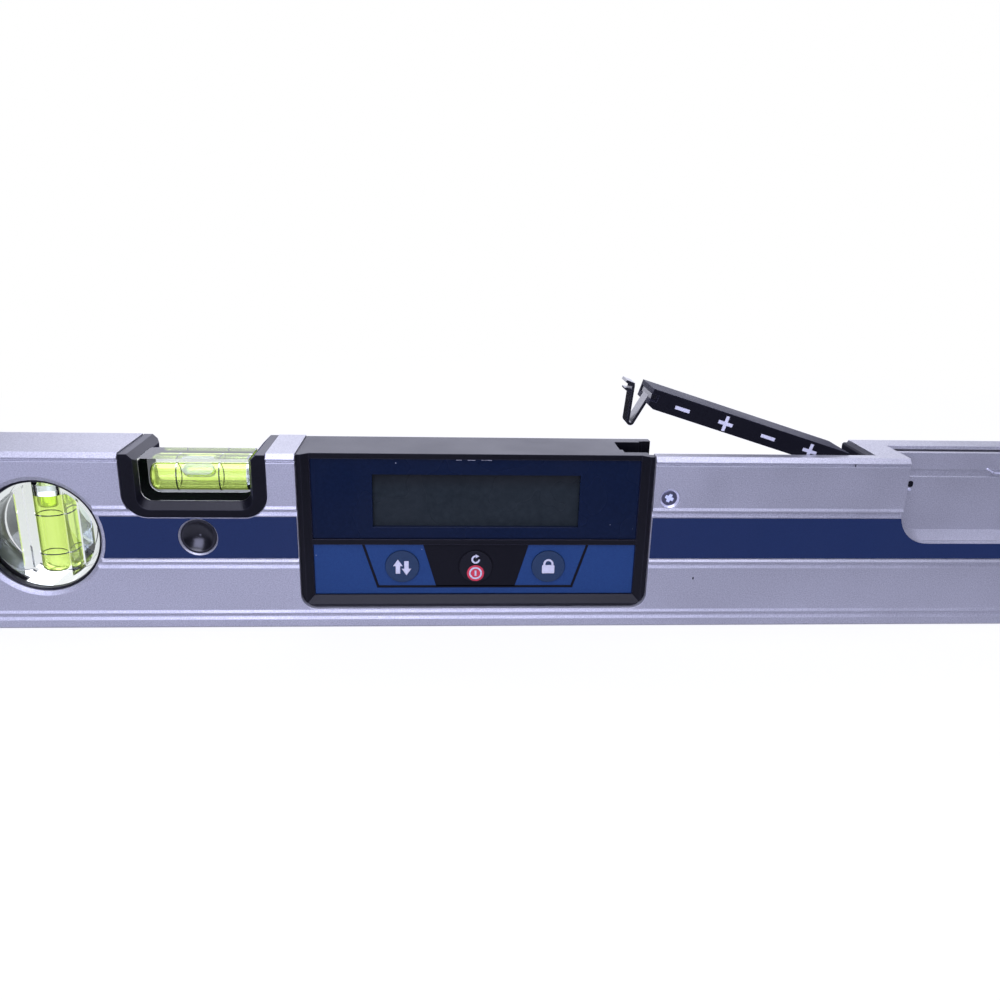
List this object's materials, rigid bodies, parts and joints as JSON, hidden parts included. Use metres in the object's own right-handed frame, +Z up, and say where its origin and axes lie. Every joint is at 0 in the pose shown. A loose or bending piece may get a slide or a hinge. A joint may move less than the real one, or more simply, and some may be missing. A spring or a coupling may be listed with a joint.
{
  "type": "digital angle finder",
  "caption": "Spirit level with a digital angle display: hollow aluminium rail, level and plumb vials, keypad, hand grip recess and a hinged battery lid standing open.",
  "frame": {"origin": "on the lower measuring face, in the middle of the level's length and width", "axes": "+X along the level from the plumb vial end to the hand grip end, +Z up from the lower measuring face, and the display faces -Y"},
  "size_m": [0.608, 0.027, 0.0818],
  "materials": {
    "anodised_aluminium": "fine satin anodised extrusion",
    "band_paint": "satin dark blue band",
    "black_plastic": "fine moulded texture",
    "lid_plastic": "fine moulded texture",
    "inner_plastic": "plain inner moulding",
    "panel_film": "smooth dark blue film",
    "keypad_film": "mid blue film with darker print",
    "blue_key": "soft touch",
    "black_key": "soft touch",
    "lcd": "dark display glass",
    "board": "varnished laminate",
    "bright_metal": "plated",
    "contact_metal": "plated spring strip",
    "clear_plastic": "clear, polished",
    "vial_fluid": "yellow-green fluid",
    "ring_paint": "black line",
    "cell_jacket": "printed jacket"
  },
  "bodies": {
    "rail": {"level_rail": "anodised_aluminium", "left_end_cap": "black_plastic", "right_end_cap": "black_plastic", "front_stripe": "band_paint", "back_stripe": "band_paint", "display_housing": "black_plastic", "front_panel": "panel_film", "keypad_cover": "keypad_film", "lcd_frame": "inner_plastic", "lcd_glass": "lcd", "circuit_board": "board", "tilt_sensor": "bright_metal", "key_switches": "inner_plastic", "board_screws": "bright_metal", "side_screw": "bright_metal", "vial_holder": "black_plastic", "level_vial_block": "clear_plastic", "level_vial_fluid": "vial_fluid", "level_vial_rings": "ring_paint", "level_vial_plug": "clear_plastic", "round_plug": "black_plastic", "plumb_ring": "black_plastic", "plumb_vial_block": "clear_plastic", "plumb_vial_fluid": "vial_fluid", "plumb_vial_rings": "ring_paint", "plumb_vial_plug": "clear_plastic", "battery_box": "black_plastic", "battery_cells": "cell_jacket", "cell_contacts": "contact_metal", "grip_insert": "anodised_aluminium"},
    "unit_key_cap": {"unit_key": "blue_key"},
    "power_key_cap": {"power_key": "black_key"},
    "hold_key_cap": {"hold_key": "blue_key"},
    "pin": {"hinge_pin": "bright_metal"},
    "lid": {"battery_lid": "lid_plastic", "lid_contacts": "contact_metal"},
    "latch": {"lid_latch": "lid_plastic"}
  },
  "joints": [
    {"name": "unit_key_press", "type": "slide", "parent": "rail", "child": "unit_key_cap", "axis": [0, 1, 0], "range_m": [0, 0.0008], "stiffness_N_per_m": 1500},
    {"name": "power_key_press", "type": "slide", "parent": "rail", "child": "power_key_cap", "axis": [0, 1, 0], "range_m": [0, 0.0008], "stiffness_N_per_m": 1500},
    {"name": "hold_key_press", "type": "slide", "parent": "rail", "child": "hold_key_cap", "axis": [0, 1, 0], "range_m": [0, 0.0008], "stiffness_N_per_m": 1500},
    {"name": "lid_draw", "type": "slide", "parent": "rail", "child": "pin", "axis": [1, 0, 0], "range_m": [0, 0.00671]},
    {"name": "lid_turn", "type": "hinge", "parent": "pin", "child": "lid", "pos_m": [0.022, 0, 0.0536], "axis": [0, 1, 0], "range_deg": [-17.2, 0]},
    {"name": "latch_press", "type": "slide", "parent": "lid", "child": "latch", "axis": [0.9553, 0, -0.2957], "range_m": [0, 0.0015], "stiffness_N_per_m": 1500}
  ],
  "couplings": [
    {"joint": "lid_draw", "follows": "lid_turn", "m_per_rad": -0.02232}
  ]
}
